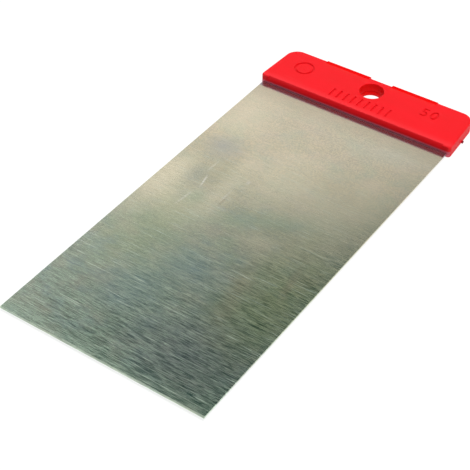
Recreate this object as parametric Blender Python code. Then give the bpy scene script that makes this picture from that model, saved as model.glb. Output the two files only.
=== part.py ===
# Japanese spatula: a thin steel blade with a folded plastic handle along its back edge.
# Metres, +Z up. X runs across the blade, the working edge faces -Y and the handle lies at +Y.
# The origin is under the middle of the tool, on the surface that the handle rests on.

import math

import bmesh
import bpy
from mathutils import Matrix, Vector

MM = 0.001

# Blade sizes
BLADE_WIDTH = 50.0 * MM
BLADE_REACH = 94.25 * MM
BLADE_THICKNESS = 0.4 * MM
TANG_SHOULDER = 2.0 * MM

# Handle sizes
HANDLE_DEPTH = 13.75 * MM
HANDLE_OVERHANG = 0.8 * MM
END_TAPER = math.radians(3.1)
LOWER_SKIN = 0.75 * MM
UPPER_SKIN = 1.7 * MM
BACK_WALL = 2.4 * MM
BACK_CORNER_RADIUS = 3.0 * MM
FRONT_CORNER_RADIUS = 0.8 * MM
EDGE_ROUND = 0.3 * MM

# Slope along the front of the upper shell
LIP_HEIGHT = 0.85 * MM
SLOPE_BACK = 0.38 * MM
SLOPE_MARGIN = 2.05 * MM

# Hanging hole, which narrows downwards, with the boss that keeps it open between the shells
HOLE_DIAMETER = 6.2 * MM
HOLE_FOOT_DIAMETER = 5.8 * MM
HOLE_BACK_WALL = 1.75 * MM
BOSS_WALL = 0.8 * MM

# Pegs that hold the tang
PEG_DIAMETER = 3.0 * MM
PEG_SIDE_MARGIN = 5.5 * MM
PEG_SETBACK = 6.7 * MM
SOCKET_ROOF = 0.5 * MM
PEG_TIP_GAP = 0.15 * MM

# Film hinge straps across the back edge
STRAP_WIDTH = 12.2 * MM
STRAP_THICKNESS = 0.4 * MM
STRAP_SPACE = 6.1 * MM
WAIST_BACK = 0.5 * MM

# Moulding gate left on the right end of the lower shell
GATE_DIAMETER = 0.7 * MM
GATE_STAND = 0.4 * MM
GATE_SETBACK = 6.7 * MM

# Clearances between neighbours
FACE_CLEARANCE = 0.1 * MM
PARTING_GAP = 0.1 * MM
TANG_CLEARANCE = 0.2 * MM
PEG_CLEARANCE = 0.2 * MM
STRAP_CLEARANCE = 0.25 * MM

# Facets of the round forms, how far a cutter runs past the face it opens, and the slack in finding a face
ROUND_STEPS = 40
CORNER_STEPS = 8
FOLD_STEPS = 6
EDGE_STEPS = 3
SHARP_ANGLE = math.radians(30)
OVERRUN = 1.0 * MM
SAME_HEIGHT = 0.01 * MM

# Places along the tool
TOTAL_LENGTH = BLADE_REACH + HANDLE_DEPTH + STRAP_THICKNESS
Y_EDGE = -TOTAL_LENGTH / 2
Y_FRONT = Y_EDGE + BLADE_REACH
Y_BACK = Y_FRONT + HANDLE_DEPTH
Y_TANG_END = Y_BACK - BACK_WALL - TANG_CLEARANCE
Y_HOLE = Y_BACK - HOLE_BACK_WALL - HOLE_DIAMETER / 2
Y_PEG = Y_FRONT + PEG_SETBACK
Y_FOLD = Y_BACK + STRAP_THICKNESS / 2

# Heights through the handle
Z_BLADE = LOWER_SKIN + FACE_CLEARANCE
Z_PARTING = Z_BLADE + BLADE_THICKNESS / 2
Z_CEILING = Z_BLADE + BLADE_THICKNESS + FACE_CLEARANCE
HANDLE_THICKNESS = Z_CEILING + UPPER_SKIN
Z_LOWER_RIM = Z_PARTING - PARTING_GAP / 2
Z_UPPER_RIM = Z_PARTING + PARTING_GAP / 2
Z_SOCKET_END = HANDLE_THICKNESS - SOCKET_ROOF
Z_LOW_FOLD = STRAP_THICKNESS / 2
Z_HIGH_FOLD = HANDLE_THICKNESS - STRAP_THICKNESS / 2

# Widths across the tool
TANG_HALF = BLADE_WIDTH / 2 - TANG_SHOULDER
HANDLE_HALF = BLADE_WIDTH / 2 + HANDLE_OVERHANG
BOSS_RADIUS = HOLE_DIAMETER / 2 + BOSS_WALL
NOTCH_RADIUS = BOSS_RADIUS + TANG_CLEARANCE
PEG_X = TANG_HALF - PEG_SIDE_MARGIN
STRAP_X = (STRAP_SPACE + STRAP_WIDTH) / 2
HINGE_ZONE_HALF = STRAP_X + STRAP_WIDTH / 2 + STRAP_CLEARANCE


def handle_half_at(y):
    """Half the handle's width at a place along the tool: the ends draw in towards the back."""
    return HANDLE_HALF - (y - Y_FRONT) * math.tan(END_TAPER)


def arc(centre, radius, start, end, steps):
    """Points of an arc about a centre, from one angle to another."""
    angles = [start + (end - start) * i / steps for i in range(steps + 1)]
    return [(centre[0] + radius * math.cos(a), centre[1] + radius * math.sin(a)) for a in angles]


def rounded_corner(before, corner, after, radius):
    """Points of the arc that rounds the corner between two straight sides."""
    corner = Vector(corner)
    towards_before = (Vector(before) - corner).normalized()
    towards_after = (Vector(after) - corner).normalized()
    half_angle = towards_before.angle(towards_after) / 2
    bisector = (towards_before + towards_after).normalized()
    centre = corner + bisector * radius / math.sin(half_angle)
    first = corner + towards_before * radius / math.tan(half_angle) - centre
    last = corner + towards_after * radius / math.tan(half_angle) - centre
    start = math.atan2(first.y, first.x)
    turn = first.angle_signed(last)
    return arc(centre, radius, start, start - turn, CORNER_STEPS)


def extruded(points, depth, axis):
    """A closed prism: an outline in space, swept along an axis."""
    mesh = bmesh.new()
    base = mesh.faces.new([mesh.verts.new(point) for point in points])
    swept = bmesh.ops.extrude_face_region(mesh, geom=[base])
    moved = [item for item in swept["geom"] if isinstance(item, bmesh.types.BMVert)]
    bmesh.ops.translate(mesh, verts=moved, vec=Vector(axis) * depth)
    bmesh.ops.recalc_face_normals(mesh, faces=mesh.faces)
    return mesh


def plate(outline, z_low, z_high):
    """A flat plate of an XY outline between two heights."""
    return extruded([(x, y, z_low) for x, y in outline], z_high - z_low, (0, 0, 1))


def box(low, high):
    """A block between two corners."""
    corners = [(low[0], low[1]), (high[0], low[1]), (high[0], high[1]), (low[0], high[1])]
    return plate(corners, low[2], high[2])


def disc(x, y, radius, z_low, z_high):
    """An upright round plate, pin or hole."""
    return plate(arc((x, y), radius, 0, 2 * math.pi, ROUND_STEPS)[:-1], z_low, z_high)


def tapered_plug(x, y, radius_low, radius_high, z_low, z_high):
    """An upright round plug that widens upwards."""
    plug = bmesh.new()
    middle = Matrix.Translation((x, y, (z_low + z_high) / 2))
    height = z_high - z_low
    bmesh.ops.create_cone(plug, cap_ends=True, segments=ROUND_STEPS, radius1=radius_low,
                          radius2=radius_high, depth=height, matrix=middle)
    return plug


def joined(parts):
    """Several separate solids in one mesh."""
    whole = bmesh.new()
    for part in parts:
        piece = bpy.data.meshes.new("part")
        part.to_mesh(piece)
        part.free()
        whole.from_mesh(piece)
        bpy.data.meshes.remove(piece)
    return whole


def add_object(name, shape):
    """Put a finished shape in the scene under its name, with round faces shaded smooth."""
    mesh = bpy.data.meshes.new(name)
    shape.to_mesh(mesh)
    shape.free()
    mesh.shade_smooth()
    mesh.set_sharp_from_angle(angle=SHARP_ANGLE)
    piece = bpy.data.objects.new(name, mesh)
    bpy.context.scene.collection.objects.link(piece)
    return piece


def shape_with(piece, operation, name, shape):
    """Cut a shape out of a piece, or add it, with a hidden tool object."""
    tool = add_object(name, shape)
    tool.hide_render = True
    tool.display_type = "WIRE"
    boolean = piece.modifiers.new(name, "BOOLEAN")
    boolean.operation = operation
    boolean.solver = "EXACT"
    boolean.object = tool


def finish_with(piece, material):
    """Give a piece its material."""
    piece.data.materials.append(material)


def make_material(name, colour, roughness, metallic):
    """A plain surface with its colour, roughness and metal share."""
    material = bpy.data.materials.new(name)
    material.use_nodes = True
    surface = material.node_tree.nodes["Principled BSDF"]
    surface.inputs["Base Color"].default_value = (*colour, 1.0)
    surface.inputs["Roughness"].default_value = roughness
    surface.inputs["Metallic"].default_value = metallic
    return material


def add_fold_line(name, place, parent=None):
    """An empty on a fold line, which the pieces that turn about it hang on."""
    line = bpy.data.objects.new(name, None)
    line.location = place
    line.parent = parent
    bpy.context.scene.collection.objects.link(line)
    return line


def hang_on(piece, line, place):
    """Hang a piece on its fold line, with the piece's origin on that line."""
    piece.data.transform(Matrix.Translation(-Vector(place)))
    piece.parent = line


def make_blade(steel):
    """The steel sheet: square at the working edge, stepped in to a tang with a notch and peg holes."""
    half = BLADE_WIDTH / 2
    y_shoulder = Y_FRONT - TANG_CLEARANCE
    notch = arc((0, Y_HOLE), NOTCH_RADIUS, 0, -math.pi, ROUND_STEPS // 2)
    right_side = [(half, Y_EDGE), (half, y_shoulder), (TANG_HALF, y_shoulder), (TANG_HALF, Y_TANG_END)]
    left_side = [(-x, y) for x, y in reversed(right_side)]
    notch_mouth = [(NOTCH_RADIUS, Y_TANG_END), *notch, (-NOTCH_RADIUS, Y_TANG_END)]
    outline = [*right_side, *notch_mouth, *left_side]
    blade = add_object("blade", plate(outline, Z_BLADE, Z_BLADE + BLADE_THICKNESS))
    hole_radius = PEG_DIAMETER / 2 + PEG_CLEARANCE
    below, above = Z_BLADE - OVERRUN, Z_BLADE + BLADE_THICKNESS + OVERRUN
    holes = [disc(x, Y_PEG, hole_radius, below, above) for x in (-PEG_X, PEG_X)]
    shape_with(blade, "DIFFERENCE", "tang_peg_holes", joined(holes))
    finish_with(blade, steel)
    return blade


def handle_outline():
    """The handle seen from above: ends that draw in, small front corners and round back corners."""
    back_half = handle_half_at(Y_BACK)
    corners = [
        ((HANDLE_HALF, Y_FRONT), FRONT_CORNER_RADIUS),
        ((back_half, Y_BACK), BACK_CORNER_RADIUS),
        ((-back_half, Y_BACK), BACK_CORNER_RADIUS),
        ((-HANDLE_HALF, Y_FRONT), FRONT_CORNER_RADIUS),
    ]
    outline = []
    for i, (corner, radius) in enumerate(corners):
        before = corners[i - 1][0]
        after = corners[(i + 1) % len(corners)][0]
        outline += rounded_corner(before, corner, after, radius)
    return outline


def shell_blank(z_low, z_high, z_outer):
    """One half of the handle as a block, with the rim of its outer face rounded."""
    blank = plate(handle_outline(), z_low, z_high)
    rim = [edge for edge in blank.edges if all(abs(v.co.z - z_outer) < SAME_HEIGHT for v in edge.verts)]
    bmesh.ops.bevel(blank, geom=rim, offset=EDGE_ROUND, segments=EDGE_STEPS, profile=0.5, affect="EDGES")
    return blank


def hollow_shell(shell, z_floor, z_open, z_rim, z_root):
    """Cut the tang's pocket, the hinge zone and the waist, then raise the boss and open the hole."""
    pocket_half = TANG_HALF + TANG_CLEARANCE
    pocket_low = (-pocket_half, Y_FRONT - OVERRUN, min(z_floor, z_open))
    pocket_high = (pocket_half, Y_TANG_END + TANG_CLEARANCE, max(z_floor, z_open))
    shape_with(shell, "DIFFERENCE", shell.name + "_pocket", box(pocket_low, pocket_high))
    zone_low = (-HINGE_ZONE_HALF, Y_BACK - STRAP_CLEARANCE, -OVERRUN)
    zone_high = (HINGE_ZONE_HALF, Y_BACK + OVERRUN, HANDLE_THICKNESS + OVERRUN)
    shape_with(shell, "DIFFERENCE", shell.name + "_hinge_zone", box(zone_low, zone_high))
    waist_low = (-STRAP_SPACE / 2, Y_BACK - WAIST_BACK, -OVERRUN)
    waist_high = (STRAP_SPACE / 2, Y_BACK + OVERRUN, HANDLE_THICKNESS + OVERRUN)
    shape_with(shell, "DIFFERENCE", shell.name + "_waist", box(waist_low, waist_high))
    boss = disc(0, Y_HOLE, BOSS_RADIUS, min(z_root, z_rim), max(z_root, z_rim))
    shape_with(shell, "UNION", shell.name + "_boss", boss)
    widening = (HOLE_DIAMETER - HOLE_FOOT_DIAMETER) / 2 * OVERRUN / HANDLE_THICKNESS
    foot_radius = HOLE_FOOT_DIAMETER / 2 - widening
    head_radius = HOLE_DIAMETER / 2 + widening
    z_over = HANDLE_THICKNESS + OVERRUN
    hole = tapered_plug(0, Y_HOLE, foot_radius, head_radius, -OVERRUN, z_over)
    shape_with(shell, "DIFFERENCE", shell.name + "_hanging_hole", hole)


def make_lower_shell(plastic):
    """The half under the blade, with the pegs and the stub of the moulding gate."""
    shell = add_object("lower_shell", shell_blank(0, Z_LOWER_RIM, 0))
    z_root = LOWER_SKIN / 2
    hollow_shell(shell, LOWER_SKIN, Z_PARTING + OVERRUN, Z_LOWER_RIM, z_root)
    z_tip = Z_SOCKET_END - PEG_TIP_GAP
    pegs = [disc(x, Y_PEG, PEG_DIAMETER / 2, z_root, z_tip) for x in (-PEG_X, PEG_X)]
    shape_with(shell, "UNION", "pegs", joined(pegs))
    y_gate = Y_FRONT + GATE_SETBACK
    x_gate = handle_half_at(y_gate)
    z_gate = Z_LOWER_RIM / 2
    circle = arc((y_gate, z_gate), GATE_DIAMETER / 2, 0, 2 * math.pi, ROUND_STEPS // 2)[:-1]
    root = [(x_gate - GATE_STAND, y, z) for y, z in circle]
    shape_with(shell, "UNION", "gate", extruded(root, 2 * GATE_STAND, (1, 0, 0)))
    finish_with(shell, plastic)
    return shell


def make_upper_shell(plastic):
    """The half over the blade, with the peg sockets and the slope along its front face."""
    shell = add_object("upper_shell", shell_blank(Z_UPPER_RIM, HANDLE_THICKNESS, HANDLE_THICKNESS))
    hollow_shell(shell, Z_CEILING, Z_PARTING - OVERRUN, Z_UPPER_RIM, Z_CEILING + UPPER_SKIN / 2)
    socket_radius = PEG_DIAMETER / 2 + PEG_CLEARANCE
    sockets = [disc(x, Y_PEG, socket_radius, Z_PARTING - OVERRUN, Z_SOCKET_END) for x in (-PEG_X, PEG_X)]
    shape_with(shell, "DIFFERENCE", "sockets", joined(sockets))
    slope_half = HANDLE_HALF - SLOPE_MARGIN
    z_lip = Z_CEILING + LIP_HEIGHT
    z_over = HANDLE_THICKNESS + OVERRUN
    y_open = Y_FRONT - OVERRUN
    y_over = Y_FRONT + SLOPE_BACK * (z_over - z_lip) / (HANDLE_THICKNESS - z_lip)
    side = [(y_open, z_lip), (Y_FRONT, z_lip), (y_over, z_over), (y_open, z_over)]
    profile = [(-slope_half, y, z) for y, z in side]
    shape_with(shell, "DIFFERENCE", "front_slope", extruded(profile, 2 * slope_half, (1, 0, 0)))
    finish_with(shell, plastic)
    return shell


def make_strap(name, x_centre, plastic):
    """A thin tab that stands across the back edge, with half-round ends on the two fold lines."""
    radius = STRAP_THICKNESS / 2
    top = arc((Y_FOLD, Z_HIGH_FOLD), radius, 0, math.pi, FOLD_STEPS)
    bottom = arc((Y_FOLD, Z_LOW_FOLD), radius, math.pi, 2 * math.pi, FOLD_STEPS)
    x_start = x_centre - STRAP_WIDTH / 2
    side = [(x_start, y, z) for y, z in [*top, *bottom]]
    strap = add_object(name, extruded(side, STRAP_WIDTH, (1, 0, 0)))
    finish_with(strap, plastic)
    return strap


# Start from an empty scene
for item in list(bpy.data.objects):
    bpy.data.objects.remove(item)

spring_steel = make_material("spring_steel", (0.42, 0.40, 0.35), 0.32, 1.0)
red_plastic = make_material("red_plastic", (0.72, 0.025, 0.035), 0.45, 0.0)

low_fold = Vector((0, Y_FOLD, Z_LOW_FOLD))
high_fold = Vector((0, Y_FOLD, Z_HIGH_FOLD))
spine_fold = add_fold_line("spine_fold", low_fold)
cover_fold = add_fold_line("cover_fold", high_fold - low_fold, spine_fold)

make_blade(spring_steel)
make_lower_shell(red_plastic)
for side_name, x_side in (("left", -STRAP_X), ("right", STRAP_X)):
    hang_on(make_strap("hinge_strap_" + side_name, x_side, red_plastic), spine_fold, low_fold)
hang_on(make_upper_shell(red_plastic), cover_fold, high_fold)
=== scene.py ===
import math

import bmesh
import bpy
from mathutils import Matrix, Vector


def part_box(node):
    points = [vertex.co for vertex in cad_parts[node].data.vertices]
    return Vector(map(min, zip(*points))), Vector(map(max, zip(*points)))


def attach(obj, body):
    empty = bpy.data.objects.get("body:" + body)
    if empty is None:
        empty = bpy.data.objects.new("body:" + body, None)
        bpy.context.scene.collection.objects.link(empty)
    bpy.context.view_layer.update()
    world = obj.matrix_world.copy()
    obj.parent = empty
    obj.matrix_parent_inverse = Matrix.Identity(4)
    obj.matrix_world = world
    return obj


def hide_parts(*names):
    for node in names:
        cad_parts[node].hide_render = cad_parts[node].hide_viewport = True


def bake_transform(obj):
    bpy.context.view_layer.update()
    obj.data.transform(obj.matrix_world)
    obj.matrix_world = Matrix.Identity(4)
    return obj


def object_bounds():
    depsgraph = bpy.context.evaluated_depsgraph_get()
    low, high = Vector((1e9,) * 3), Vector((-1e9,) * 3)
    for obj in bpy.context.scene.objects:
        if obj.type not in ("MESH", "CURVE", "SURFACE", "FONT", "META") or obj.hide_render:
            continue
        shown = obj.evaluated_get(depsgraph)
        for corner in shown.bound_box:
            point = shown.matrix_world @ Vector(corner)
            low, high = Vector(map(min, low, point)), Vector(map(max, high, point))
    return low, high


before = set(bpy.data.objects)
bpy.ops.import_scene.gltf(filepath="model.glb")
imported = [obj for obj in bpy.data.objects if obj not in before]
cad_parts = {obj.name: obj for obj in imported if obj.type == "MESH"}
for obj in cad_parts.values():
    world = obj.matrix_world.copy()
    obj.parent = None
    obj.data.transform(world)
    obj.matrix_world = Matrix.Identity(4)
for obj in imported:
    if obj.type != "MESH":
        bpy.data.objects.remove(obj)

cad_low, cad_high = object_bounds()


# Blade
# A sheet of spring steel, sheared square and brushed across its width, with its cut edges eased and its
# working edge ground on the upper side. At the back it is stepped in to a tang, with a notch round the
# hanging hole and two holes for the handle's pegs.
MM = 0.001
blade_low, blade_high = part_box("blade")
shoulder_y = 39.85 * MM
tang_half = 23.0 * MM
notch_radius = 4.1 * MM
hole_y = 48.95 * MM
peg_x = 17.5 * MM
peg_y = 46.75 * MM
tang_hole_radius = 1.7 * MM
ground_edge = 0.27 * MM
eased_edge = 0.04 * MM
eased_steps = 2
round_steps = 56
overrun = 1.0 * MM
hairline = 0.004 * MM
seam_sides = 6
flat_angle = math.radians(0.5)
sharp_angle = math.radians(40)
smooth_angle = math.radians(35)
squarely = 0.9


def settle():
    """Put the place, turn and scale of the selected object into its mesh."""
    bpy.ops.object.transform_apply(location=True, rotation=True, scale=True)


def start_block(name, low, high):
    """A block between two corners, alone in the selection and ready to be shaped."""
    bpy.ops.object.select_all(action="DESELECT")
    middle = [(a + b) / 2 for a, b in zip(low, high)]
    bpy.ops.mesh.primitive_cube_add(size=1, location=middle)
    block = bpy.context.object
    block.name = name
    block.scale = [b - a for a, b in zip(low, high)]
    settle()
    return block


def start_round(name, x, y, radius, z_low, z_high):
    """An upright round bar, alone in the selection."""
    bpy.ops.object.select_all(action="DESELECT")
    place = (x, y, (z_low + z_high) / 2)
    bpy.ops.mesh.primitive_cylinder_add(
        vertices=round_steps, radius=radius, depth=z_high - z_low, location=place
    )
    bar = bpy.context.object
    bar.name = name
    settle()
    return bar


def work_on(piece):
    """Make a piece the only one selected, in object mode."""
    if bpy.context.object and bpy.context.object.mode != "OBJECT":
        bpy.ops.object.mode_set(mode="OBJECT")
    bpy.ops.object.select_all(action="DESELECT")
    piece.select_set(True)
    bpy.context.view_layer.objects.active = piece


def open_to_pick(piece, kind):
    """Open a piece for editing with nothing selected, to pick its faces or its edges."""
    work_on(piece)
    bpy.ops.object.mode_set(mode="EDIT")
    bpy.ops.mesh.select_mode(type=kind)
    bpy.ops.mesh.select_all(action="DESELECT")
    return bmesh.from_edit_mesh(piece.data)


def pick_faces(piece, test):
    """Open a piece for editing with the faces selected whose middle and normal pass a test."""
    shape = open_to_pick(piece, "FACE")
    for face in shape.faces:
        face.select_set(test(face.calc_center_median(), face.normal))
    bmesh.update_edit_mesh(piece.data)


def pick_edges(piece, test):
    """Open a piece for editing with the edges selected whose two ends both pass a test."""
    shape = open_to_pick(piece, "EDGE")
    for edge in shape.edges:
        edge.select_set(all(test(end.co) for end in edge.verts))
    bmesh.update_edit_mesh(piece.data)


def round_picked(width, steps):
    """Round the edges that are selected, or cut them off flat in one step."""
    bpy.ops.mesh.bevel(offset=width, segments=steps, profile=0.5, affect="EDGES")


def slice_at(piece, place, normal):
    """Add a line of edges round a piece where a plane crosses it."""
    work_on(piece)
    bpy.ops.object.mode_set(mode="EDIT")
    bpy.ops.mesh.select_all(action="SELECT")
    bpy.ops.mesh.bisect(plane_co=place, plane_no=normal)
    bpy.ops.object.mode_set(mode="OBJECT")


def apply_modifier(piece, kind, settings):
    """Add a modifier with its settings and apply it."""
    work_on(piece)
    modifier = piece.modifiers.new(kind.lower(), kind)
    for name, value in settings.items():
        setattr(modifier, name, value)
    bpy.ops.object.modifier_apply(modifier=modifier.name)


def combine(piece, operation, tool):
    """Cut a tool out of a piece, or weld it on, and clear the tool away."""
    apply_modifier(piece, "BOOLEAN", {"operation": operation, "solver": "EXACT", "object": tool})
    bpy.data.objects.remove(tool)


def clear_seams(piece):
    """Close the hairline seams that cuts leave, and join the faces that lie in one plane."""
    work_on(piece)
    bpy.ops.object.mode_set(mode="EDIT")
    bpy.ops.mesh.select_all(action="SELECT")
    bpy.ops.mesh.remove_doubles(threshold=hairline)
    bpy.ops.mesh.dissolve_degenerate(threshold=hairline)
    bpy.ops.mesh.select_all(action="SELECT")
    bpy.ops.mesh.dissolve_limited(angle_limit=flat_angle)
    bpy.ops.mesh.select_all(action="SELECT")
    bpy.ops.mesh.fill_holes(sides=seam_sides)
    bpy.ops.object.mode_set(mode="OBJECT")


def ease_edges(piece, width):
    """Round every sharp edge a little."""
    clear_seams(piece)
    settings = {"width": width, "segments": eased_steps, "use_clamp_overlap": True}
    apply_modifier(piece, "BEVEL", {**settings, "limit_method": "ANGLE", "angle_limit": sharp_angle})


def smooth_surface(piece):
    """Shade round faces smooth, with flat faces left flat."""
    clear_seams(piece)
    bpy.ops.object.shade_smooth_by_angle(angle=smooth_angle)
    apply_modifier(piece, "WEIGHTED_NORMAL", {"keep_sharp": True})


blade = start_block("blade_sheet", blade_low, (blade_high.x, shoulder_y, blade_high.z))
slice_at(blade, (tang_half, 0, 0), (1, 0, 0))
slice_at(blade, (-tang_half, 0, 0), (1, 0, 0))
pick_faces(blade, lambda middle, normal: normal.y > squarely and abs(middle.x) < tang_half)
tang_length = blade_high.y - shoulder_y
bpy.ops.mesh.extrude_region_move(TRANSFORM_OT_translate={"value": (0, tang_length, 0)})
bpy.ops.object.mode_set(mode="OBJECT")
pick_edges(blade, lambda end: end.y < blade_low.y + hairline and end.z > blade_high.z - hairline)
round_picked(ground_edge, 1)
bpy.ops.object.mode_set(mode="OBJECT")
below_blade = blade_low.z - overrun
above_blade = blade_high.z + overrun
combine(blade, "DIFFERENCE", start_round("notch", 0, hole_y, notch_radius, below_blade, above_blade))
notch_low = (-notch_radius, hole_y, below_blade)
notch_high = (notch_radius, blade_high.y + overrun, above_blade)
combine(blade, "DIFFERENCE", start_block("notch_mouth", notch_low, notch_high))
for side in (-peg_x, peg_x):
    peg_hole = start_round("hole", side, peg_y, tang_hole_radius, below_blade, above_blade)
    combine(blade, "DIFFERENCE", peg_hole)
ease_edges(blade, eased_edge)
smooth_surface(blade)


class Shade:
    """An output in a material's nodes. Sums and products of it add Math nodes beside it."""

    def __init__(self, tree, socket=None):
        self.tree = tree
        self.socket = socket

    def node(self, kind, settings, inputs, output=0):
        """Add a node: its settings first, then the values or links of its sockets."""
        made = self.tree.nodes.new(kind)
        stops = settings.pop("stops", None)
        for name, value in settings.items():
            setattr(made, name, value)
        if stops:
            made.color_ramp.elements[0].position = stops[0][0]
            made.color_ramp.elements[0].color = (*stops[0][1], 1)
            made.color_ramp.elements[1].position = stops[-1][0]
            made.color_ramp.elements[1].color = (*stops[-1][1], 1)
            for place, colour in stops[1:-1]:
                made.color_ramp.elements.new(place).color = (*colour, 1)
        for key, value in inputs.items():
            if isinstance(value, Shade):
                self.tree.links.new(value.socket, made.inputs[key])
            else:
                made.inputs[key].default_value = value
        return Shade(self.tree, made.outputs[output])

    def maths(self, operation, first, second):
        """A Math node on two values."""
        return self.node("ShaderNodeMath", {"operation": operation}, {0: first, 1: second})

    def __add__(self, other):
        return self.maths("ADD", self, other)

    def __radd__(self, other):
        return self.maths("ADD", other, self)

    def __sub__(self, other):
        return self.maths("SUBTRACT", self, other)

    def __rsub__(self, other):
        return self.maths("SUBTRACT", other, self)

    def __mul__(self, other):
        return self.maths("MULTIPLY", self, other)

    def __rmul__(self, other):
        return self.maths("MULTIPLY", other, self)

    def unsigned(self):
        """A value without its sign."""
        return self.maths("ABSOLUTE", self, 0.0)

    def axis(self, name):
        """One coordinate of a place: X, Y or Z."""
        return self.node("ShaderNodeSeparateXYZ", {}, {"Vector": self}, name)

    def reach(self):
        """The distance of a place from the point where all its coordinates are 0."""
        return self.node("ShaderNodeVectorMath", {"operation": "LENGTH"}, {0: self}, "Value")

    def spread(self, low, high):
        """The part of a value between two levels, as a mask from 0 to 1."""
        levels = {"From Min": low, "From Max": high, "To Min": 0.0, "To Max": 1.0}
        return self.node("ShaderNodeMapRange", {"clamp": True}, {"Value": self, **levels})

    def tint(self, first, second):
        """A colour that goes from the first to the second as this value goes from 0 to 1."""
        ends = [colour if isinstance(colour, Shade) else (*colour, 1) for colour in (first, second)]
        settings = {"data_type": "RGBA", "blend_type": "MIX"}
        return self.node("ShaderNodeMix", settings, {0: self, 6: ends[0], 7: ends[1]}, 2)

    def grain(self, scale, detail, roughness=0.5, offset=(0, 0, 0)):
        """A noise in this place, stretched by its scale along each axis, in lumps per metre."""
        stretched = self.node("ShaderNodeMapping", {}, {"Vector": self, "Scale": scale, "Location": offset})
        values = {"Vector": stretched, "Scale": 1.0, "Detail": detail, "Roughness": roughness}
        return self.node("ShaderNodeTexNoise", {}, values)

    def bump(self, strength):
        """A bumpy surface from this height in millimetres."""
        heights = {"Strength": strength, "Distance": MM, "Height": self}
        return self.node("ShaderNodeBump", {}, heights)

    def feed(self, socket):
        """Join this output to a socket of the surface."""
        self.tree.links.new(self.socket, socket)


def new_finish(name):
    """A material with the sockets of its surface, and the place on the piece that its pattern follows."""
    material = bpy.data.materials.new(name)
    material.use_nodes = True
    surface = material.node_tree.nodes["Principled BSDF"].inputs
    place = Shade(material.node_tree).node("ShaderNodeTexCoord", {}, {}, "Object")
    return material, surface, place


steel_film = (0.77, 0.66, 0.48)
steel_warm = (0.73, 0.63, 0.44)
steel_olive = (0.70, 0.67, 0.46)
steel_worn = (0.79, 0.97, 0.77)
steel_edge = (0.80, 0.98, 0.78)
line_shade = (0.24, 0.28, 0.24)
steel_shade = (0.38, 0.41, 0.35)
stain_blue = (0.36, 0.48, 0.52)
stain_plum = (0.40, 0.41, 0.45)
stain_sea = (0.37, 0.51, 0.44)
stain_green = (0.47, 0.58, 0.43)
stain_grey = (0.46, 0.47, 0.43)
stain_teal = (0.58, 0.64, 0.54)
stain_brown = (0.60, 0.53, 0.37)
stain_olive = (0.52, 0.60, 0.20)
stain_pink = (0.78, 0.63, 0.52)
pale_smear = (0.90, 0.81, 0.60)
scratch_pale = (0.92, 0.88, 0.78)
streak_pale = (0.88, 0.97, 0.83)
# Dark steel for one dark mark, and also for the painted shade towards the handle
dark_mark_and_shade = (0.50, 0.43, 0.32)
# Purple for the painted shadow and reflection of the handle's front face on the blade
mirrored_shade_purple = (0.32, 0.28, 0.40)

brushed_steel, steel_surface, on_steel = new_finish("brushed_spring_steel")
up_blade = on_steel.axis("Y")
upper_side = on_steel.axis("Z").spread(blade_low.z, blade_high.z)
worn_from = 20.0 * MM
worn_to = -35.0 * MM
worn = up_blade.spread(worn_from, worn_to)

# Patterns of the brushing, the wear and the stains
fine_lines = on_steel.grain((450, 10500, 300), detail=3.0, roughness=0.6)
broad_lines = on_steel.grain((260, 5600, 300), detail=3.0, roughness=0.65, offset=(1.7, 0.4, 0.0))
lines = (fine_lines * 0.5 + broad_lines * 0.5).spread(0.43, 0.57)
between_lines = 1.0 - lines
haze = on_steel.grain((400, 26000, 300), detail=1.0, offset=(4.4, 3.2, 0.0)).spread(0.46, 0.64)
streaks = on_steel.grain((140, 5000, 300), detail=1.0, offset=(1.3, 5.1, 0.0)).spread(0.63, 0.75)
streaks = streaks * (0.1 + worn * 0.9)
clouds = on_steel.grain((38, 30, 30), detail=4.0, roughness=0.55)
specks = on_steel.grain((2300, 2900, 300), detail=2.0, roughness=0.6, offset=(0.6, 2.9, 0.0))
between_specks = 1.0 - specks.spread(0.43, 0.57)
brown_marks = on_steel.grain((50, 60, 40), detail=2.0, offset=(7.7, 2.3, 0.0)).spread(0.54, 0.80)
pink_mottle = on_steel.grain((120, 170, 100), detail=3.0, roughness=0.6, offset=(3.1, 9.2, 0.0))
green_mottle = on_steel.grain((150, 190, 100), detail=3.0, roughness=0.6, offset=(8.3, 1.6, 0.0))
blue_mottle = on_steel.grain((190, 260, 100), detail=3.0, roughness=0.6, offset=(5.2, 6.7, 0.0))

# Bare steel under an even wear of lines, specks and mottles
wear_stops = [(0.18, steel_film), (0.36, steel_warm), (0.52, steel_olive), (0.94, steel_worn)]
blade_wear = up_blade.spread(blade_high.y, blade_low.y)
line_depth = 0.10 + worn * 0.72
cloud_depth = 0.15
speck_depth = 0.34 + worn * 0.22
mottle_depth = 0.22
brown_depth = 0.3
blue_depth = 0.10 + worn * 0.25
steel_tone = blade_wear.node("ShaderNodeValToRGB", {"stops": wear_stops}, {"Fac": blade_wear})
steel_tone = (between_lines * line_depth).tint(steel_tone, line_shade)
steel_tone = ((1.0 - clouds.spread(0.3, 0.7)) * cloud_depth).tint(steel_tone, steel_shade)
steel_tone = (between_specks * speck_depth).tint(steel_tone, steel_shade)
steel_tone = (pink_mottle.spread(0.46, 0.64) * mottle_depth).tint(steel_tone, stain_pink)
steel_tone = (green_mottle.spread(0.46, 0.64) * mottle_depth).tint(steel_tone, stain_green)
steel_tone = (brown_marks * brown_depth).tint(steel_tone, stain_brown)
held_in_lines = 0.5 + 0.5 * between_lines
steel_tone = (blue_mottle.spread(0.50, 0.66) * held_in_lines * blue_depth).tint(steel_tone, stain_blue)

# Single stains, smears and scratches on the upper face
mark_rim = 1.1
mark_core = 0.2
rim_waver = (clouds - 0.5) * 1.4


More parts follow.
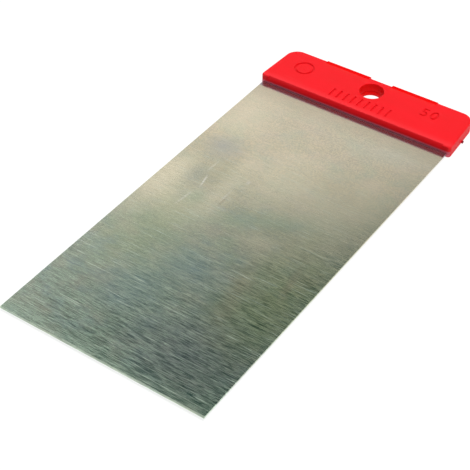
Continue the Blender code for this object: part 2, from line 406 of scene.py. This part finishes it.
def stained(tone, colour, depth, x, y, wide, long, turn=0.0, in_lines=False):
    """The steel with one more soft mark: its middle and its half sizes are given in millimetres."""
    sizes = {"Location": (x * MM, y * MM, 0), "Rotation": (0, 0, turn), "Scale": (wide * MM, long * MM, 1)}
    inside = on_steel.node("ShaderNodeMapping", {"vector_type": "TEXTURE"}, {"Vector": on_steel, **sizes})
    mark = (inside.reach() + rim_waver).spread(mark_rim, mark_core) * upper_side
    if in_lines:
        mark = mark * held_in_lines
    return (mark * depth).tint(tone, colour)


steel_tone = stained(steel_tone, stain_sea, depth=0.45, x=-3, y=-28, wide=16, long=17, in_lines=True)
steel_tone = stained(steel_tone, stain_blue, depth=0.4, x=-8, y=-35, wide=8, long=7, in_lines=True)
steel_tone = stained(steel_tone, stain_blue, depth=0.4, x=1, y=-23, wide=9, long=7, in_lines=True)
steel_tone = stained(steel_tone, stain_plum, depth=0.7, x=13, y=-43, wide=13, long=12, in_lines=True)
steel_tone = stained(steel_tone, stain_green, depth=0.4, x=3, y=-4, wide=27, long=3.5, turn=0.49)
steel_tone = stained(steel_tone, pale_smear, depth=0.35, x=6, y=-9, wide=6, long=2.4, turn=0.35)
steel_tone = stained(steel_tone, pale_smear, depth=0.75, x=-23, y=-3, wide=6, long=14)
steel_tone = stained(steel_tone, pale_smear, depth=0.45, x=19, y=3, wide=10, long=20)
steel_tone = stained(steel_tone, pale_smear, depth=0.4, x=-21, y=27, wide=9, long=13)
steel_tone = stained(steel_tone, pale_smear, depth=0.4, x=1, y=9, wide=14, long=12)
steel_tone = stained(steel_tone, pale_smear, depth=0.3, x=9, y=-10, wide=10, long=7)
steel_tone = stained(steel_tone, pale_smear, depth=0.4, x=-12, y=-8, wide=9, long=9)
steel_tone = stained(steel_tone, pale_smear, depth=0.35, x=-9.4, y=3, wide=3.4, long=15, turn=0.10)
steel_tone = stained(steel_tone, stain_brown, depth=0.45, x=-14.5, y=5, wide=5, long=7)
steel_tone = stained(steel_tone, stain_grey, depth=0.75, x=-18.1, y=13.4, wide=6.4, long=5.6)
steel_tone = stained(steel_tone, stain_grey, depth=0.35, x=-17.2, y=2, wide=3, long=4.5)
steel_tone = stained(steel_tone, stain_green, depth=0.35, x=-12.9, y=-4.8, wide=2.6, long=3.6)
steel_tone = stained(steel_tone, stain_teal, depth=0.4, x=14, y=32, wide=13, long=5, turn=0.2)
steel_tone = stained(steel_tone, steel_shade, depth=0.40, x=17, y=-36, wide=14, long=20)
steel_tone = stained(steel_tone, stain_olive, depth=0.35, x=19, y=-22, wide=12, long=20)
steel_tone = stained(steel_tone, stain_olive, depth=0.16, x=-14, y=-21, wide=10, long=17)
steel_tone = stained(steel_tone, stain_brown, depth=0.5, x=10.8, y=-22, wide=2.8, long=13, turn=0.22)
steel_tone = stained(steel_tone, stain_brown, depth=0.6, x=19, y=-16, wide=1.4, long=7, turn=0.18)
steel_tone = stained(steel_tone, scratch_pale, depth=0.8, x=-14.6, y=0.8, wide=0.30, long=2.4, turn=0.21)
steel_tone = stained(steel_tone, scratch_pale, depth=0.35, x=-15.9, y=6.1, wide=0.28, long=2.6, turn=-0.04)
steel_tone = stained(steel_tone, scratch_pale, depth=0.45, x=-14.9, y=-6.3, wide=0.28, long=3.2, turn=-0.10)
steel_tone = stained(steel_tone, scratch_pale, depth=0.35, x=-7.6, y=-0.9, wide=0.30, long=2.4)
steel_tone = stained(steel_tone, dark_mark_and_shade, depth=0.5, x=-7.15, y=-2.6, wide=0.30, long=2.6)
steel_tone = stained(steel_tone, scratch_pale, depth=0.4, x=-6.1, y=5.7, wide=0.6, long=0.9)

# Bright wear at the working edge, painted shade towards the handle, and a painted shadow and reflection of
# the handle
edge_wear_from = -49.5 * MM
edge_wear_to = -54.0 * MM
edge_wear_depth = 0.32
streak_depth = 0.85
handle_cover_from = 40.6 * MM
handle_cover_to = 41.4 * MM
broad_shade_from = 20.0 * MM
broad_shade_to = 36.0 * MM
broad_shade_waver = 0.6 * MM
broad_shade_depth = 0.3
near_shade_from = 33.5 * MM
near_shade_to = 38.0 * MM
near_shade_waver = 1.0 * MM
near_shade_depth = 0.35
mirrored_shade_from = 38.1 * MM
mirrored_shade_to = 38.7 * MM
mirrored_shade_waver = 0.4 * MM
mirrored_shade_depth = 0.7
edge_wear = up_blade.spread(edge_wear_from, edge_wear_to)
uncovered = up_blade.spread(handle_cover_to, handle_cover_from)
broad_handle_shade = (up_blade + clouds * broad_shade_waver).spread(broad_shade_from, broad_shade_to) * uncovered
near_handle_shade = (up_blade + clouds * near_shade_waver).spread(near_shade_from, near_shade_to) * uncovered
mirrored_handle_shade = (up_blade + clouds * mirrored_shade_waver).spread(mirrored_shade_from, mirrored_shade_to) * uncovered
steel_tone = (edge_wear * edge_wear_depth).tint(steel_tone, steel_edge)
steel_tone = (streaks * streak_depth).tint(steel_tone, streak_pale)
# Painted shade: the steel is drawn darker towards the handle, broadly, and then more strongly close to it
steel_tone = (broad_handle_shade * broad_shade_depth + near_handle_shade * near_shade_depth).tint(steel_tone, dark_mark_and_shade)
# Painted shadow and reflection: a purple band on the steel in front of the handle's front face
steel_tone = (mirrored_handle_shade * mirrored_shade_depth).tint(steel_tone, mirrored_shade_purple)
steel_tone.feed(steel_surface["Base Color"])
# The painted shadow band is also made a little less metallic here, and rougher below
mirrored_shade_dulling = 0.08
(1.0 - mirrored_handle_shade * mirrored_shade_dulling).feed(steel_surface["Metallic"])

# Roughness and relief of the brushing
polished = 0.105
line_roughness = 0.03 * lines + 0.10 * worn * lines
haze_roughness = (0.07 + 0.15 * worn) * haze
steel_roughness = polished + line_roughness + 0.04 * clouds + haze_roughness
steel_roughness = steel_roughness + 0.10 * streaks + 0.10 * mirrored_handle_shade
steel_roughness.feed(steel_surface["Roughness"])
line_height = 0.0014
sway_height = 0.020
streak_height = 0.001
sway = on_steel.grain((30, 26, 30), detail=1.0, offset=(6.0, 8.0, 0.0))
steel_relief = lines * worn * line_height + sway * sway_height + streaks * streak_height
steel_relief.bump(1.0).feed(steel_surface["Normal"])

blade.data.materials.append(brushed_steel)
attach(blade, "base")
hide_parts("blade")


# Lower shell
# The half of the red plastic handle that lies under the blade, moulded flat together with the upper half.
# Its two pegs pass through the tang, and the stub of the moulding gate stands on its right end.
handle_front = 40.05 * MM
handle_back = 53.80 * MM
handle_top = cad_high.z
front_half = 25.79 * MM
back_half = 25.055 * MM
lower_rim_z = 1.00 * MM
lower_floor_z = 0.75 * MM
back_corner = 3.0 * MM
back_corner_steps = 14
front_corner = 0.8 * MM
front_corner_steps = 5
rim_round = 0.35 * MM
rim_steps = 4
pocket_half = 23.2 * MM
pocket_end = 51.4 * MM
hinge_half = 15.5 * MM
hinge_back = 53.55 * MM
waist_back = 53.30 * MM
boss_radius = 3.9 * MM
hole_head_radius = 3.0 * MM
hole_foot_radius = 2.52 * MM
hole_rim = 0.12 * MM
film_inner_x = 3.05 * MM
film_outer_x = 15.25 * MM
film_root_y = 52.75 * MM
film_root_depth = 0.55 * MM
peg_radius = 1.5 * MM
peg_tip_z = 2.40 * MM
gate_radius = 0.34 * MM
gate_stand = 0.36 * MM
gate_steps = 20
moulded_edge = 0.05 * MM
slack = 0.01 * MM
hole_slack = 0.02 * MM


def pick_corners(blank, half_height, test):
    """Select the upright edges of a blank, open for editing, whose place passes a test."""
    bpy.ops.mesh.select_all(action="DESELECT")
    shape = bmesh.from_edit_mesh(blank.data)
    for edge in shape.edges:
        upright = abs(edge.verts[0].co.z - edge.verts[1].co.z) > half_height
        edge.select_set(upright and test(edge.verts[0].co))


def handle_blank(name, z_low, z_high, z_outer):
    """Half of the handle as a block: ends drawn in to the back, corners rounded, outer rim rolled."""
    blank = start_block(name, (-front_half, handle_front, z_low), (front_half, handle_back, z_high))
    pick_faces(blank, lambda middle, normal: normal.y > squarely)
    centre = (0, handle_back, (z_low + z_high) / 2)
    bpy.ops.transform.resize(value=(back_half / front_half, 1, 1), center_override=centre)
    half_height = (z_high - z_low) / 2
    open_to_pick(blank, "EDGE")
    pick_corners(blank, half_height, lambda end: end.y > handle_back - slack)
    round_picked(back_corner, back_corner_steps)
    pick_corners(blank, half_height, lambda end: end.y < handle_front + slack)
    round_picked(front_corner, front_corner_steps)
    pick_edges(blank, lambda end: abs(end.z - z_outer) < slack)
    round_picked(rim_round, rim_steps)
    bpy.ops.object.mode_set(mode="OBJECT")
    return blank


def open_shell(shell, z_floor, z_open, z_root, z_rim):
    """Sink the tang's pocket and set the hinge edge back, then raise the boss."""
    pocket_low = (-pocket_half, handle_front - overrun, min(z_floor, z_open))
    pocket_high = (pocket_half, pocket_end, max(z_floor, z_open))
    combine(shell, "DIFFERENCE", start_block("pocket", pocket_low, pocket_high))
    edge_low = (-hinge_half, hinge_back, -overrun)
    edge_high = (hinge_half, handle_back + overrun, handle_top + overrun)
    combine(shell, "DIFFERENCE", start_block("hinge_edge", edge_low, edge_high))
    waist_low = (-film_inner_x, waist_back, -overrun)
    waist_high = (film_inner_x, handle_back + overrun, handle_top + overrun)
    combine(shell, "DIFFERENCE", start_block("waist_edge", waist_low, waist_high))
    boss = start_round("boss", 0, hole_y, boss_radius, min(z_root, z_rim), max(z_root, z_rim))
    combine(shell, "UNION", boss)


def seat_films(shell, z_outer, z_ledge):
    """Cut the two seats from which the hinge films spring."""
    for inner, outer in ((film_inner_x, film_outer_x), (-film_outer_x, -film_inner_x)):
        low = (inner, film_root_y, min(z_outer, z_ledge))
        high = (outer, handle_back + overrun, max(z_outer, z_ledge))
        combine(shell, "DIFFERENCE", start_block("film_seat", low, high))


def pierce(shell, z_outer, rim_radius):
    """Open the hanging hole, which narrows downwards through both shells, and round its outer rim."""
    bpy.ops.object.select_all(action="DESELECT")
    widening = (hole_head_radius - hole_foot_radius) * overrun / handle_top
    bpy.ops.mesh.primitive_cone_add(
        vertices=round_steps,
        radius1=hole_foot_radius - widening,
        radius2=hole_head_radius + widening,
        depth=handle_top + 2 * overrun,
        location=(0, hole_y, handle_top / 2),
    )
    hole = bpy.context.object
    settle()
    combine(shell, "DIFFERENCE", hole)
    centre = Vector((0, hole_y, z_outer))

    def on_rim(end):
        return abs((end - centre).length - rim_radius) < hole_slack and abs(end.z - z_outer) < hole_slack

    pick_edges(shell, on_rim)
    round_picked(hole_rim, rim_steps)
    bpy.ops.object.mode_set(mode="OBJECT")


lower_shell = handle_blank("lower_shell_moulding", 0, lower_rim_z, 0)
open_shell(lower_shell, lower_floor_z, lower_rim_z + overrun, lower_floor_z / 2, lower_rim_z)
seat_films(lower_shell, -overrun, film_root_depth)
for side in (-peg_x, peg_x):
    peg = start_round("peg", side, peg_y, peg_radius, lower_floor_z / 2, peg_tip_z)
    combine(lower_shell, "UNION", peg)
gate_x = front_half + (back_half - front_half) * (peg_y - handle_front) / (handle_back - handle_front)
bpy.ops.object.select_all(action="DESELECT")
bpy.ops.mesh.primitive_cylinder_add(
    vertices=gate_steps,
    radius=gate_radius,
    depth=2 * gate_stand,
    location=(gate_x, peg_y, lower_rim_z / 2),
    rotation=(0, math.pi / 2, 0),
)
gate = bpy.context.object
settle()
combine(lower_shell, "UNION", gate)
pierce(lower_shell, 0, hole_foot_radius)
ease_edges(lower_shell, moulded_edge)
smooth_surface(lower_shell)

red_colour = (0.95, 0.005, 0.013)
red_deep = (0.90, 0.004, 0.009)
red_scuff = (0.93, 0.030, 0.040)
red_gate_shade = (0.25, 0.008, 0.020)
red_joint_shade = (0.80, 0.16, 0.23)
red_highlight = (0.95, 0.026, 0.036)
red_film = (0.92, 0.002, 0.002)
red_bore_shade = (0.84, 0.001, 0.001)
red_mark_shade = (0.70, 0.003, 0.007)

moulded_red, red_surface, on_red = new_finish("moulded_red_plastic")
from_middle = on_red.axis("X").unsigned()
along_handle = on_red.axis("Y")
up_handle = on_red.axis("Z")
mould_grain = on_red.grain((7000, 7000, 7000), detail=2.0, roughness=0.6)
flow = on_red.grain((90, 160, 200), detail=3.0)
scuffs = on_red.grain((140, 900, 900), detail=2.0, offset=(2.0, 4.0, 1.0)).spread(0.66, 0.82)
scuff_depth = 0.35
red_tone = flow.spread(0.3, 0.7).tint(red_deep, red_colour)
red_tone = (scuffs * scuff_depth).tint(red_tone, red_scuff)

# Painted shade on the torn end of the gate stub, which is drawn darker
gate_shade_reach = 0.55 * MM
gate_shade_core = 0.36 * MM
gate_end = Vector((gate_x + gate_stand, peg_y, lower_rim_z / 2))
gate_ends = {0: on_red, 1: gate_end}
from_gate = on_red.node("ShaderNodeVectorMath", {"operation": "DISTANCE"}, gate_ends, "Value")
red_tone = from_gate.spread(gate_shade_reach, gate_shade_core).tint(red_tone, red_gate_shade)

# Painted shade and reflection where the blade goes in, and a painted highlight along the front edge above
# it
joint_shade_back = 40.6 * MM
joint_shade_front = 40.3 * MM
joint_shade_reach = 1.1 * MM
joint_shade_core = 0.75 * MM
joint_shade_waver = 0.3 * MM
joint_shade_depth = 0.85
from_joint = (up_handle - blade_low.z).unsigned() + flow * joint_shade_waver
joint_shade = along_handle.spread(joint_shade_back, joint_shade_front) * from_joint.spread(joint_shade_reach, joint_shade_core)
# Painted shade and reflection: a purple-grey tint on the handle's front faces next to the blade
red_tone = (joint_shade * joint_shade_depth).tint(red_tone, red_joint_shade)
highlight_back = 42.2 * MM
highlight_front = 40.9 * MM
highlight_foot = 2.75 * MM
highlight_top = 3.0 * MM
highlight_depth = 0.8
front_highlight = along_handle.spread(highlight_back, highlight_front) * up_handle.spread(highlight_foot, highlight_top)
# Painted highlight: a paler, pinker band along the upper front edge of the handle
red_tone = (front_highlight * highlight_depth).tint(red_tone, red_highlight)

# The smoother films, and painted shade in the bore of the hole and in the floors of the pressed marks
film_tint_inner = 3.1 * MM
film_tint_outer = 15.2 * MM
film_tint_root = 51.0 * MM
film_tint_back = 53.5 * MM
inner_fade = 0.2 * MM
outer_fade = 0.3 * MM
past_inner = from_middle.spread(film_tint_inner - inner_fade, film_tint_inner)
before_outer = from_middle.spread(film_tint_outer + outer_fade, film_tint_outer)
on_film = past_inner * before_outer * along_handle.spread(film_tint_root, film_tint_back)
red_tone = on_film.tint(red_tone, red_film)
bore_outside = 3.06 * MM
bore_inside = 2.99 * MM
hole_axis = {"Vector": on_red, "Location": (0, -hole_y, 0), "Scale": (1, 1, 0)}
from_hole = on_red.node("ShaderNodeMapping", {}, hole_axis).reach()
# Painted shade: the bore of the hole is drawn darker
red_tone = from_hole.spread(bore_outside, bore_inside).tint(red_tone, red_bore_shade)
marks_front = 41.2 * MM
marks_back = 51.8 * MM
marks_half = 23.5 * MM
marks_off_hole = 3.2 * MM
marks_fade = 0.1 * MM
pressed_from = 3.02 * MM
pressed_to = 2.93 * MM
pressed_floor = 2.84 * MM
pressed_under = 2.80 * MM
mark_shade_depth = 0.6
marks_reach = along_handle.spread(marks_front, marks_front + marks_fade)
marks_reach = marks_reach * along_handle.spread(marks_back, marks_back - marks_fade)
marks_reach = marks_reach * from_middle.spread(marks_half, marks_half - marks_fade)
marks_reach = marks_reach * from_hole.spread(marks_off_hole, marks_off_hole + marks_fade)
pressed = up_handle.spread(pressed_from, pressed_to) * up_handle.spread(pressed_under, pressed_floor)
# Painted shade: the floors of the pressed marks are drawn darker
red_tone = (marks_reach * pressed * mark_shade_depth).tint(red_tone, red_mark_shade)
red_tone.feed(red_surface["Base Color"])

# Roughness and relief of the moulding
moulded_roughness = 0.42
red_roughness = moulded_roughness + 0.10 * flow + 0.06 * mould_grain - 0.06 * scuffs - 0.28 * on_film
red_roughness.feed(red_surface["Roughness"])
grain_height = 0.012
flow_height = 0.006
(mould_grain * grain_height + flow * flow_height).bump(0.6).feed(red_surface["Normal"])
red_surface["Specular IOR Level"].default_value = 0.18

lower_shell.data.materials.append(moulded_red)
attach(lower_shell, "base")
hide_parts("lower_shell")


# Upper shell
# The half of the handle that closes over the blade. It has a slope along its front, sockets for the pegs,
# and plain marks pressed into its face: a ring, a row of grip bars and the blade's width in millimetres.
upper_rim_z = 1.10 * MM
upper_ceiling_z = 1.27 * MM
socket_radius = 1.7 * MM
socket_end_z = 2.55 * MM
slope_half = 23.75 * MM
slope_foot_z = 2.20 * MM
slope_back = 0.38 * MM

upper_shell = handle_blank("upper_shell_moulding", upper_rim_z, handle_top, handle_top)
boss_root = (upper_ceiling_z + handle_top) / 2
open_shell(upper_shell, upper_ceiling_z, upper_rim_z - overrun, boss_root, upper_rim_z)
seat_films(upper_shell, handle_top + overrun, handle_top - film_root_depth)
for side in (-peg_x, peg_x):
    socket = start_round("socket", side, peg_y, socket_radius, upper_rim_z - overrun, socket_end_z)
    combine(upper_shell, "DIFFERENCE", socket)
slope_low = (-slope_half, handle_front - overrun, slope_foot_z)
slope_high = (slope_half, handle_front, handle_top + overrun)
front_slope = start_block("front_slope", slope_low, slope_high)
pick_faces(front_slope, lambda middle, normal: normal.z > squarely)
lean = slope_back * (overrun + handle_top - slope_foot_z) / (handle_top - slope_foot_z)
bpy.ops.transform.translate(value=(0, lean, 0))
bpy.ops.object.mode_set(mode="OBJECT")
combine(upper_shell, "DIFFERENCE", front_slope)
pierce(upper_shell, handle_top, hole_head_radius)
ease_edges(upper_shell, moulded_edge)

mark_depth = 0.18 * MM
mark_width = 0.5 * MM
mark_floor = handle_top - mark_depth
ring_x = -18.3 * MM
ring_y = 47.9 * MM
ring_radius = 2.5 * MM
bar_count = 9
bar_pitch = 1.9 * MM
bar_low_y = 41.9 * MM
bar_high_y = 44.9 * MM
digits_x = 15.8 * MM
digits_y = 48.5 * MM
digits_height = 3.1 * MM
type_over_height = 1.4
digit_spacing = 1.15

ring = start_round("ring", ring_x, ring_y, ring_radius, mark_floor, handle_top + overrun)
ring_core = start_round("core", ring_x, ring_y, ring_radius - mark_width, 0, handle_top + 2 * overrun)
combine(ring, "DIFFERENCE", ring_core)
combine(upper_shell, "DIFFERENCE", ring)
for i in range(bar_count):
    bar_x = (i - (bar_count - 1) / 2) * bar_pitch
    bar_low = (bar_x - mark_width / 2, bar_low_y, mark_floor)
    bar_high = (bar_x + mark_width / 2, bar_high_y, handle_top + overrun)
    combine(upper_shell, "DIFFERENCE", start_block("bar", bar_low, bar_high))
bpy.ops.object.select_all(action="DESELECT")
bpy.ops.object.text_add(location=(digits_x, digits_y, mark_floor))
digits = bpy.context.object
digits.data.body = "50"
digits.data.align_x = "CENTER"
digits.data.align_y = "CENTER"
digits.data.size = digits_height * type_over_height
digits.data.space_character = digit_spacing
digits.data.extrude = mark_depth * 2
bpy.ops.object.convert(target="MESH")
digits = bpy.context.object
settle()
bpy.ops.transform.translate(value=(0, 0, mark_depth * 2))
settle()
combine(upper_shell, "DIFFERENCE", digits)
smooth_surface(upper_shell)

upper_shell.data.materials.append(moulded_red)
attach(upper_shell, "cover")
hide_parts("upper_shell")


# Hinge films
# Two thin straps of the same plastic join the shells across the back edge, where the moulding is folded.
# Each is made here as an upper and a lower film, which roll over the edge and meet halfway down it.
film_back = cad_high.y
film_wall = 0.45 * MM
film_roll = 0.95 * MM
film_roll_steps = 12
film_inner_roll = 0.5 * MM
film_inner_steps = 10
film_seam = 0.03 * MM
film_dip = 0.18 * MM
middle_z = handle_top / 2


def rolled_film(name, x_low, x_high):
    """A film that lies in the upper shell's seat, rolls over the back edge and hangs to mid-height."""
    root_z = handle_top - film_root_depth
    hanging_y = film_back - film_wall
    low = (x_low + film_seam, film_root_y + film_seam, root_z)
    film = start_block(name, low, (x_high - film_seam, film_back, handle_top))
    slice_at(film, (0, hanging_y, 0), (0, 1, 0))
    pick_faces(film, lambda middle, normal: normal.z < -squarely and middle.y > hanging_y)
    bpy.ops.mesh.extrude_region_move(TRANSFORM_OT_translate={"value": (0, 0, middle_z - root_z)})
    pick_edges(film, lambda end: abs(end.y - film_back) < slack and abs(end.z - handle_top) < slack)
    round_picked(film_roll, film_roll_steps)
    pick_edges(film, lambda end: abs(end.y - hanging_y) < slack and abs(end.z - root_z) < slack)
    round_picked(film_inner_roll, film_inner_steps)
    pick_edges(film, lambda end: end.y < film_root_y + 2 * film_seam and abs(end.z - handle_top) < slack)
    bpy.ops.transform.translate(value=(0, 0, -film_dip))
    bpy.ops.object.mode_set(mode="OBJECT")
    return film


def turned_over(film, name):
    """A copy of a film for the lower shell, turned over about mid-height."""
    work_on(film)
    bpy.ops.object.duplicate()
    copy = bpy.context.object
    copy.name = name
    bpy.ops.object.mode_set(mode="EDIT")
    bpy.ops.mesh.select_all(action="SELECT")
    bpy.ops.transform.resize(value=(1, 1, -1), center_override=(0, 0, middle_z))
    bpy.ops.mesh.normals_make_consistent(inside=False)
    bpy.ops.object.mode_set(mode="OBJECT")
    return copy


film_sides = (("left", -film_outer_x, -film_inner_x), ("right", film_inner_x, film_outer_x))
for side_name, x_low, x_high in film_sides:
    upper_film = rolled_film("hinge_film_upper_" + side_name, x_low, x_high)
    lower_film = turned_over(upper_film, "hinge_film_lower_" + side_name)
    for film in (upper_film, lower_film):
        smooth_surface(film)
        film.data.materials.append(moulded_red)
        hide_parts("hinge_strap_" + side_name)
    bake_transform(upper_film)
    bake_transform(lower_film)


# Studio
# A sheet of white paper that runs out to a white surround, in a pale room with one dark patch overhead,
# in the direction that the blade mirrors. One soft lamp hangs nearly overhead, hidden from reflections.
# The tool lies on the paper, and the camera looks down on it from the front right.
scene = bpy.context.scene
scene.view_settings.view_transform = "Standard"

azimuth = math.radians(34.75)
elevation = math.radians(41.961)
camera_distance = 270.5 * MM
camera_aim = Vector((1.323 * MM, -10.126 * MM, 1.25 * MM))
sensor_width = 36
focal_length = 98.25
nearest_view = 10 * MM
floor_size = 12
floor_fade_from = 0.25
floor_fade_to = 0.9
floor_white = (1, 1, 1, 1)
floor_share = (0.25, 0.25, 0.25, 1)
floor_glow = 0.80
unseen_share = (0.3, 0.3, 0.3, 1)
unseen_glow = 0.5

bpy.ops.object.select_all(action="DESELECT")
bpy.ops.mesh.primitive_plane_add(size=floor_size, location=(0, 0, 0))
floor = bpy.context.object
floor.name = "floor"
white_floor = bpy.data.materials.new("white_floor")
white_floor.use_nodes = True
paper = Shade(white_floor.node_tree)


def glowing_paper(share, glow):
    """Paper that takes a share of the light and adds an even glow to it."""
    sheet = paper.node("ShaderNodeBsdfDiffuse", {}, {"Color": share})
    shine = paper.node("ShaderNodeEmission", {}, {"Color": floor_white, "Strength": glow})
    return paper.node("ShaderNodeAddShader", {}, {0: sheet, 1: shine})


plain_paper = glowing_paper(unseen_share, unseen_glow)
near_paper = glowing_paper(floor_share, floor_glow)
far_paper = paper.node("ShaderNodeEmission", {}, {"Color": floor_white, "Strength": 1.0})
from_tool = paper.node("ShaderNodeTexCoord", {}, {}, "Object").reach()
far_off = from_tool.spread(floor_fade_from, floor_fade_to)
seen_paper = paper.node("ShaderNodeMixShader", {}, {0: far_off, 1: near_paper, 2: far_paper})
camera_ray = paper.node("ShaderNodeLightPath", {}, {}, "Is Camera Ray")
glossy_ray = paper.node("ShaderNodeLightPath", {}, {}, "Is Glossy Ray")
clear_ray = paper.node("ShaderNodeLightPath", {}, {}, "Is Transmission Ray")
seen = paper.maths("MAXIMUM", camera_ray, paper.maths("MAXIMUM", glossy_ray, clear_ray))
top_side = paper.node("ShaderNodeMixShader", {}, {0: seen, 1: plain_paper, 2: seen_paper})
from_below = paper.node("ShaderNodeNewGeometry", {}, {}, "Backfacing")
see_through = paper.node("ShaderNodeBsdfTransparent", {}, {})
floor_surface = paper.node("ShaderNodeMixShader", {}, {0: from_below, 1: top_side, 2: see_through})
floor_surface.feed(white_floor.node_tree.nodes["Material Output"].inputs["Surface"])
floor.data.materials.append(white_floor)

wall_white = (1.0, 1.0, 1.0)
wall_dim = (0.22, 0.22, 0.22)
wall_grey = (0.62, 0.62, 0.62)
ceiling_grey = (0.50, 0.51, 0.50)
patch_dark = (0.01, 0.06, 0.05)
patch_lean = 0.20
patch_from = 0.564
patch_to = 0.600

studio_room = bpy.data.worlds.new("studio")
scene.world = studio_room
studio_room.use_nodes = True
room = Shade(studio_room.node_tree)
direction = room.node("ShaderNodeTexCoord", {}, {}, "Generated")
across = direction.axis("X")
along = direction.axis("Y")
height = direction.axis("Z")
behind = along.spread(-0.25, 0.25)
overhead = (height + across * patch_lean).spread(patch_from, patch_to)
lit_room = overhead.tint(behind.tint(wall_dim, wall_white), patch_dark)
seen_wall = behind.tint(wall_grey, wall_white)
seen_ceiling = height.spread(0.70, 0.95).tint(seen_wall, ceiling_grey)
opposite = (along * math.cos(azimuth) - across * math.sin(azimuth)).spread(0.20, 0.50)
mirrored_room = (overhead * opposite).tint(seen_ceiling, patch_dark)
mirrored = room.node("ShaderNodeLightPath", {}, {}, "Is Glossy Ray")
room_colour = mirrored.tint(lit_room, mirrored_room)
room_light = room.node("ShaderNodeBackground", {}, {"Color": room_colour, "Strength": 1.0})
plain_white = room.node("ShaderNodeBackground", {}, {"Color": floor_white, "Strength": 1.0})
camera_view = room.node("ShaderNodeLightPath", {}, {}, "Is Camera Ray")
shown_room = room.node("ShaderNodeMixShader", {}, {0: camera_view, 1: room_light, 2: plain_white})
shown_room.feed(studio_room.node_tree.nodes["World Output"].inputs["Surface"])

lamp_place = Vector((0.40, -0.08, 1.74))
lamp_size = 0.7
lamp_power = 29
bpy.ops.object.light_add(type="AREA", location=lamp_place)
lamp = bpy.context.object
lamp.data.size = lamp_size
lamp.data.energy = lamp_power
lamp.visible_glossy = False
lamp.rotation_mode = "QUATERNION"
lamp.rotation_quaternion = lamp_place.to_track_quat("Z", "Y")

backwards = Vector((
    math.sin(azimuth) * math.cos(elevation),
    -math.cos(azimuth) * math.cos(elevation),
    math.sin(elevation),
))
bpy.ops.object.camera_add(location=camera_aim + backwards * camera_distance)
camera = bpy.context.object
camera.rotation_mode = "QUATERNION"
camera.rotation_quaternion = backwards.to_track_quat("Z", "Y")
camera.data.sensor_width = sensor_width
camera.data.lens = focal_length
camera.data.clip_start = nearest_view
scene.camera = camera
